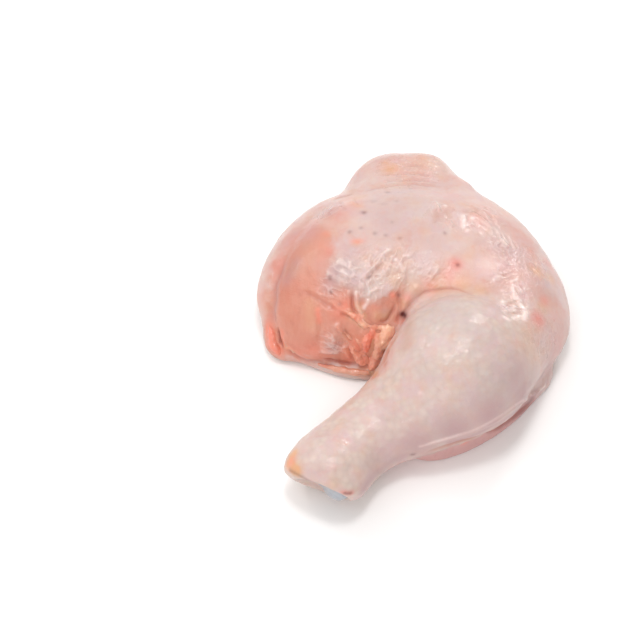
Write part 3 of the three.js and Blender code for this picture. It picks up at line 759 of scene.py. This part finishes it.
# Raw chicken skin and thigh meat: moist protein over fat, so light sinks in and comes out warm,
# while a film of water on top gives small sharp highlights
legFinish = {
    # Mauve, cool and tan are partly painted shade, hollow and crease are painted shade in fold hollows and grooves
    # (crease partly the meat's own red), and pale is partly painted highlight
    "paleSkin": "#d7beb6", "pinkSkin": "#d1a79e", "limbSkin": "#d6c3b7", "limbShade": "#cab3aa",
    "fat": "#dba880", "blush": "#dd897d", "cool_and_shade": "#bfb2af", "blood": "#5f2623", "flap": "#d5a5a1",
    "meat": "#cf8570", "paleMeat": "#d4917c", "darkMeat": "#c27a67", "crease": "#b4604f",
    "film": "#cd998a", "coral": "#f28a72", "mauve_and_shade": "#bf9a9a", "mauveSkin": "#d2b4b2",
    "tan": "#c3947f", "pale": "#fbe6df", "hollow": "#cb9f91",
    "patchSize": 14,  # mm, of the broad patches of pink
    "mottleSize": 2.2,  # mm, of the small mottling
    "follicleSpacing": 3.3,  # mm, on the drumstick
    "fibreSize": 1.5,  # mm, across the bundles of muscle
    "wrinkleSize": 1.1,  # mm, of the finest wrinkles that show
    "wrinkleHeight": 0.22,  # mm
    "mauvePatch": 8,  # mm, of the patches of each tint that are scattered over the skin
    "fatPatch": 7,
    "blushPatch": 5,
    "meatPatch": 5,  # mm, of the darker patches in the meat
    "dryPatch": 4,  # mm, of the patches that shine more or less
    "roughness": (0.4, 0.52),
    "wetGloss": -0.25,  # what wet skin takes off the roughness
}


def makeLegMaterial():
    f = legFinish
    material, tree, shader = newMaterial("raw_skin_and_meat", {
        "IOR": 1.4,
        "Subsurface Weight": 0.22,
        "Subsurface Radius": (1.0, 0.42, 0.26),
        "Subsurface Scale": 0.0045,
        "Coat Weight": 0.35,
        "Coat Roughness": 0.12,
        "Coat IOR": 1.45,
    })
    place = tree.nodes.new("ShaderNodeTexCoord").outputs["Object"]

    def mask(name):
        node = tree.nodes.new("ShaderNodeAttribute")
        node.attribute_name = name
        return node.outputs["Fac"]

    def grain(size, detail=3.0, low=0.35, high=0.65, top=1.0, vector=place):
        noiseValue = addNode(tree, "TexNoise", Vector=vector, Scale=1 / (size * mm), Detail=detail)
        return addNode(tree, "MapRange", Value=noiseValue, From_Min=low, From_Max=high, To_Max=top)

    patches = grain(f["patchSize"])
    mottle = grain(f["mottleSize"])
    skin = mixColours(tree, f["paleSkin"], f["pinkSkin"], patches)
    cells = tree.nodes.new("ShaderNodeTexVoronoi")
    cells.inputs["Scale"].default_value = 1 / (f["follicleSpacing"] * mm)
    tree.links.new(place, cells.inputs["Vector"])
    cells.inputs["Randomness"].default_value = 0.7
    dots = addNode(tree, "MapRange", Value=cells.outputs["Distance"], From_Min=0.15, From_Max=0.75)
    limb = mixColours(tree, f["limbSkin"], f["limbShade"], dots)
    skin = mixColours(tree, skin, limb, mask("limb"))
    skin = mixColours(tree, skin, f["mauveSkin"], grain(f["mauvePatch"], low=0.45, high=0.65))
    shifted = addNode(tree, "Mapping", Vector=place, Location=(0.31, 0.17, 0.05))
    yellow = grain(f["fatPatch"], low=0.5, high=0.7, top=0.3, vector=shifted)
    skin = mixColours(tree, skin, f["fat"], yellow)
    rosy = grain(f["blushPatch"], low=0.55, high=0.75, top=0.22, vector=shifted)
    skin = mixColours(tree, skin, f["blush"], rosy)
    pale = mixColours(tree, skin, f["paleSkin"], 0.4)
    skin = mixColours(tree, pale, skin, mottle)
    skin = mixColours(tree, skin, f["flap"], mask("flap"))

    turn, squeeze = (0.5, 0.0, 0.25), (1.0, 0.22, 0.4)  # the muscle's fibres run along the thigh
    stretched = addNode(tree, "Mapping", Vector=place, Rotation=turn, Scale=squeeze)
    fibres = grain(f["fibreSize"], detail=4.0, low=0.2, high=0.8, vector=stretched)
    meat = mixColours(tree, f["meat"], f["paleMeat"], fibres)
    meat = mixColours(tree, meat, f["darkMeat"], grain(f["meatPatch"], low=0.55, high=0.8))
    film = addNode(tree, "MapRange", Value=mask("bare"), From_Min=0.0, From_Max=0.45)
    flesh = addNode(tree, "MapRange", Value=mask("bare"), From_Min=0.35, From_Max=0.95)
    colour = mixColours(tree, skin, f["film"], film)  # a thin film lies between the skin and the meat
    colour = mixColours(tree, colour, meat, flesh)
    # painted shade in the fold hollows
    colour = mixColours(tree, colour, f["hollow"], mask("hollow"))
    # the mauve, cool and tan tints are partly painted shade
    for name in ("cool_and_shade", "mauve_and_shade", "fat", "blush", "coral", "tan"):
        colour = mixColours(tree, colour, f[name], mask(name))
    # painted highlights on the fold crests and in the pale strokes
    crests = addNode(tree, "MapRange", Value=mask("crest"), From_Min=0.1, From_Max=0.9, To_Max=0.55)
    colour = mixColours(tree, colour, f["pale"], crests)
    colour = mixColours(tree, colour, f["pale"], mask("pale"))
    # painted shade in the grooves, partly the meat's own red
    colour = mixColours(tree, colour, f["crease"], mask("crease"))
    colour = mixColours(tree, colour, f["blood"], mask("blood"))
    tree.links.new(colour, shader.inputs["Base Color"])

    smooth, rough = f["roughness"]
    dry = addNode(tree, "MapRange", Value=grain(f["dryPatch"]), To_Min=smooth, To_Max=rough)
    wetness = {"i0": mask("wet"), "i1": f["wetGloss"], "i2": dry}
    roughness = addNode(tree, "Math", {"operation": "MULTIPLY_ADD"}, **wetness)
    tree.links.new(roughness, shader.inputs["Roughness"])

    fine = 1 / (f["wrinkleSize"] * mm)
    wrinkles = addNode(tree, "TexNoise", Vector=place, Scale=fine, Detail=3.0, Distortion=0.8)
    folds = addNode(tree, "MapRange", Value=mask("wet"), To_Min=0.6, To_Max=1.4)
    height = addNode(tree, "Math", {"operation": "MULTIPLY"}, i0=wrinkles, i1=folds)
    bump = addNode(tree, "Bump", Strength=1.0, Distance=f["wrinkleHeight"] * mm, Height=height)
    tree.links.new(bump, shader.inputs["Normal"])
    tree.links.new(bump, shader.inputs["Coat Normal"])
    return material


leg.data.materials.clear()
leg.data.materials.append(makeLegMaterial())

# Loose ends of fat and flesh at the cut. Each lobe is a line over the leg, as pixels with
# a half width in mm
fatForm = {
    "lobes": [
        [  # the cream pad at the calf
            (391, 325, 1.8), (388, 332, 3.4), (385, 340, 3.4), (383, 348, 2.2),
        ],
        [
            (378, 332, 1.6), (378, 342, 2.8), (378, 351, 3.2), (376, 359, 3.0), (373, 366, 2.3), (369, 371, 1.0),
        ],
        [(373, 329, 1.4), (369, 336, 2.6), (367, 344, 2.8), (366, 352, 1.8)],  # the red wedge
        [(384, 348, 1.0), (380, 355, 1.5), (375, 362, 1.5)],
        [
            (337, 325, 0.5), (342, 331, 1.1), (348, 340, 1.7), (354, 348, 2.4), (359, 356, 2.8), (363, 365, 1.8),
        ],
        [(355, 337, 0.3), (359, 343, 1.4), (362, 350, 1.9), (365, 357, 1.8), (367, 364, 1.0)],
        [
            (355.5, 292, 0.3), (357, 303, 0.8), (361, 314, 1.2), (367, 322, 1.6), (376, 327, 1.7), (384, 328, 1.4),
        ],
        [
            (331, 303, 0.2), (338, 308, 0.7), (346, 312, 0.8), (354, 316, 1.1), (361, 323, 1.7), (367, 328, 1.3),
        ],
    ],
    "lift": -0.4,  # of the half width, so a lobe lies in the surface and not on it
    "pitch": 0.34 * mm,
    "lumpSize": 3.2 * mm,
    "lumpHeight": 0.6 * mm,
    "tints": {
        "red": [
            (2.6, 1.0, (370, 334), (367, 341), (366, 348)), (2.4, 0.5, (350, 344), (358, 352)),
            (2.5, 0.6, (363, 360)), (1.5, 0.5, (345, 312)), (1.6, 0.6, (375, 360), (374, 368)),
            (2, 0.5, (356, 318)), (1.2, 0.6, (381, 351), (378, 360), (374, 367)),
        ],
        "cream": [
            (3, 0.9, (388, 329), (384, 337), (383, 342)), (1.6, 0.8, (361, 325)),
            (1.4, 0.5, (376, 340), (375, 352)),
            (1.2, 0.5, (338, 327), (341, 331)),
        ],
    },
}
fleshForm = {
    "lobes": [
        [  # left of the gap
            (270, 324, 0.8), (271, 332, 2.0), (272.5, 341, 2.3), (275, 349, 2.2), (280, 354, 1.0),
        ],
        [(283, 333, 0.5), (284.5, 341, 1.0), (289, 347.5, 1.0), (295, 352, 0.6)],  # right of it
        [
            (318, 364, 0.6), (332, 368.5, 1.3), (345, 371, 1.6), (355, 372.5, 1.7), (364, 373, 1.4), (370, 373, 0.7),
        ],
    ],
    "lift": -0.2,
    "pitch": 0.4 * mm,
    "lumpSize": 3.5 * mm,
    "lumpHeight": 0.5 * mm,
    "tints": {
        "red": [(3, 0.8, (270, 331), (271, 343), (277, 352)), (1.5, 0.5, (284, 338))],
        "cream": [(3, 0.6, (335, 370), (350, 373), (365, 374)), (1.5, 0.7, (286, 346), (293, 351))],
    },
}


def makeLobes(name, form):
    curve = bpy.data.curves.new(name, "CURVE")
    curve.dimensions = "3D"
    curve.bevel_depth = 1.0
    curve.bevel_resolution = 4
    curve.use_fill_caps = True
    for lobe in form["lobes"]:
        line = curve.splines.new("NURBS")
        line.points.add(len(lobe) - 1)
        line.use_endpoint_u = True
        line.order_u = 3
        line.resolution_u = 6
        for knot, (x, y, width) in zip(line.points, lobe):
            place = onLeg(x, y)
            outward = seenLeg.find_nearest(place)[1]
            knot.co = (*(place + outward * width * form["lift"] * mm), 1)
            knot.radius = width * mm
    piece = newPiece(name, curve)
    pickOnly(piece)
    bpy.ops.object.convert(target="MESH")
    remesh = piece.modifiers.new("fuse", "REMESH")
    remesh.mode = "VOXEL"
    remesh.voxel_size = form["pitch"]
    melt = piece.modifiers.new("melt", "SMOOTH")
    melt.factor = 0.5
    melt.iterations = 6
    applyAll(piece)
    points, normals = pointsOf(piece), normalsOf(piece)
    lumps = grainOf(points, form["lumpSize"], seed=8, octaves=3) * form["lumpHeight"]
    setPoints(piece, points + normals * lumps[:, None])
    paint(piece, form["tints"])
    bpy.ops.object.shade_smooth()
    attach(piece, "root")
    print(name, "made of", len(piece.data.polygons), "faces")
    return piece


# Raw fat and connective tissue: waxy and half see-through, cream with orange where blood has stained it
fatFinish = {
    "name": "raw_fat",
    "main": "#f2ad93",
    "stain": "#e99b82",
    "red": "#ea775c",
    "cream": "#f5c2a2",
    "patchSize": 4,
    "grainSize": 0.8,
}
# Loose flesh at the cut edge: wetter and redder than fat
fleshFinish = {
    "name": "raw_flesh",
    "main": "#df9683",
    "stain": "#d78872",
    "red": "#f2846c",
    "cream": "#dcab90",
    "patchSize": 5,
    "grainSize": 1.0,
}


def makeLobeMaterial(f):
    material, tree, shader = newMaterial(f["name"], {
        "IOR": 1.44,
        "Roughness": 0.34,
        "Subsurface Weight": 0.3,
        "Subsurface Radius": (1.0, 0.5, 0.3),
        "Subsurface Scale": 0.004,
        "Coat Weight": 0.6,
        "Coat Roughness": 0.1,
    })
    place = tree.nodes.new("ShaderNodeTexCoord").outputs["Object"]
    patch = addNode(tree, "TexNoise", Vector=place, Scale=1 / (f["patchSize"] * mm), Detail=2.0)
    warm = addNode(tree, "MapRange", Value=patch, From_Min=0.4, From_Max=0.6)
    colour = mixColours(tree, f["main"], f["stain"], warm)
    fine = addNode(tree, "TexNoise", Vector=place, Scale=1 / (f["grainSize"] * mm), Detail=3.0)
    for name in ("red", "cream"):
        node = tree.nodes.new("ShaderNodeAttribute")
        node.attribute_name = name
        colour = mixColours(tree, colour, f[name], node.outputs["Fac"])
    bump = addNode(tree, "Bump", Strength=0.8, Distance=0.2 * mm, Height=fine)
    tree.links.new(colour, shader.inputs["Base Color"])
    tree.links.new(bump, shader.inputs["Normal"])
    return material


fat = makeLobes("fat_lobes", fatForm)
fat.data.materials.append(makeLobeMaterial(fatFinish))
flesh = makeLobes("cut_flesh", fleshForm)
flesh.data.materials.append(makeLobeMaterial(fleshFinish))

# The shin bone: its cap, two rounded knuckles with a groove between them, shows in the cut hock
boneForm = {
    "pitch": 0.45 * mm,
    "smoothing": 14,
    "grooveWidth": 1.7 * mm,
    "grooveDepth": 0.9 * mm,
    "grooveRuns": (0.15, -0.4, 0.9),  # its direction over the cap
    "reach": 12 * mm,  # how far from the cut face the groove runs
}


def makeBone():
    bone = copyOfNode("shin_bone", "cartilage_bone")
    remesh = bone.modifiers.new("fine", "REMESH")
    remesh.mode = "VOXEL"
    remesh.voxel_size = boneForm["pitch"]
    melt = bone.modifiers.new("melt", "SMOOTH")
    melt.factor = 0.5
    melt.iterations = boneForm["smoothing"]
    applyAll(bone)
    points = pointsOf(bone)
    outward = Vector(hock["facing"]).normalized()
    across = np.array(outward.cross(Vector(boneForm["grooveRuns"])).normalized())
    away = points - np.array(hock["face"]) * mm
    groove = np.exp(-((away @ across) / boneForm["grooveWidth"]) ** 2) * boneForm["grooveDepth"]
    near = 1 - ease(0.5 * boneForm["reach"], boneForm["reach"], np.linalg.norm(away, axis=1))
    setPoints(bone, points - np.array(outward) * (groove * near)[:, None])
    bpy.ops.object.shade_smooth()
    return bone


# Joint cartilage: smooth, wet and milky, blue-white over the bone, with a pink stain at its rim
boneFinish = {"milk": "#aeb1b8", "blue": "#9ba1ac", "pink": "#b99c9a", "patchSize": 6, "grainSize": 1.2}


def makeBoneMaterial():
    f = boneFinish
    material, tree, shader = newMaterial("wet_cartilage", {
        "IOR": 1.4,
        "Roughness": 0.28,
        "Subsurface Weight": 0.35,
        "Subsurface Radius": (0.7, 0.8, 1.0),
        "Subsurface Scale": 0.003,
        "Coat Weight": 0.8,
        "Coat Roughness": 0.06,
    })
    place = tree.nodes.new("ShaderNodeTexCoord").outputs["Object"]
    patch = addNode(tree, "TexNoise", Vector=place, Scale=1 / (f["patchSize"] * mm), Detail=2.0)
    cold = addNode(tree, "MapRange", Value=patch, From_Min=0.4, From_Max=0.6)
    colour = mixColours(tree, f["milk"], f["blue"], cold)
    fine = addNode(tree, "TexNoise", Vector=place, Scale=1 / (f["grainSize"] * mm), Detail=3.0)
    veins = addNode(tree, "MapRange", Value=fine, From_Min=0.55, From_Max=0.75, To_Max=0.6)
    colour = mixColours(tree, colour, f["pink"], veins)
    tree.links.new(colour, shader.inputs["Base Color"])
    bump = addNode(tree, "Bump", Strength=0.3, Distance=0.1 * mm, Height=fine)
    tree.links.new(bump, shader.inputs["Normal"])
    return material


bone = makeBone()
bone.data.materials.append(makeBoneMaterial())
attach(bone, "root")
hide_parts("shin_bone")
print("bone made of", len(bone.data.polygons), "faces")

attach(leg, "root")
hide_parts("leg")


# A pale floor, two wide soft lights, and four small ones that the wet skin mirrors as glints
studio = {
    "floorColour": "#fcfbfa",
    "worldColour": "#ffffff",
    "worldStrength": 0.55,
    "lights": {
        "softbox above": {"at": (-0.35, 0.10, 1.0), "size": 1.0, "power": 3.4},
        "fill front": {"at": (-0.3, -0.95, 0.6), "size": 0.8, "power": 2.0},
        "glint above": {"at": (-0.02, 0.02, 0.90), "size": 0.16, "power": 1.7},
        "glint behind": {"at": (0.33, 0.66, 0.46), "size": 0.16, "power": 1.7},
        "glint left": {"at": (-0.55, 0.31, 0.65), "size": 0.10, "power": 0.5},
        "glint front": {"at": (-0.35, -0.75, 0.45), "size": 0.12, "power": 0.6},
    },
}


def makeStage():
    bpy.ops.mesh.primitive_plane_add(size=6, location=(0, 0, 0))
    floor = bpy.context.object
    floor.name = "floor"
    floor.data.materials.append(newMaterial("matt_floor", {
        "Base Color": toLinear(studio["floorColour"]),
        "Roughness": 0.9,
        "Specular IOR Level": 0.1,
    })[0])
    world = bpy.data.worlds.new("studio")
    world.use_nodes = True
    background = world.node_tree.nodes["Background"].inputs
    background["Color"].default_value = toLinear(studio["worldColour"])
    background["Strength"].default_value = studio["worldStrength"]
    bpy.context.scene.world = world
    for name, light in studio["lights"].items():
        lamp = bpy.data.lights.new(name, "AREA")
        lamp.size = light["size"]
        lamp.energy = light["power"]
        holder = bpy.data.objects.new(name, lamp)
        holder.location = light["at"]
        holder.rotation_euler = (-Vector(light["at"])).to_track_quat("-Z", "Y").to_euler()
        bpy.context.scene.collection.objects.link(holder)
    bpy.context.scene.view_settings.view_transform = "Standard"


makeStage()
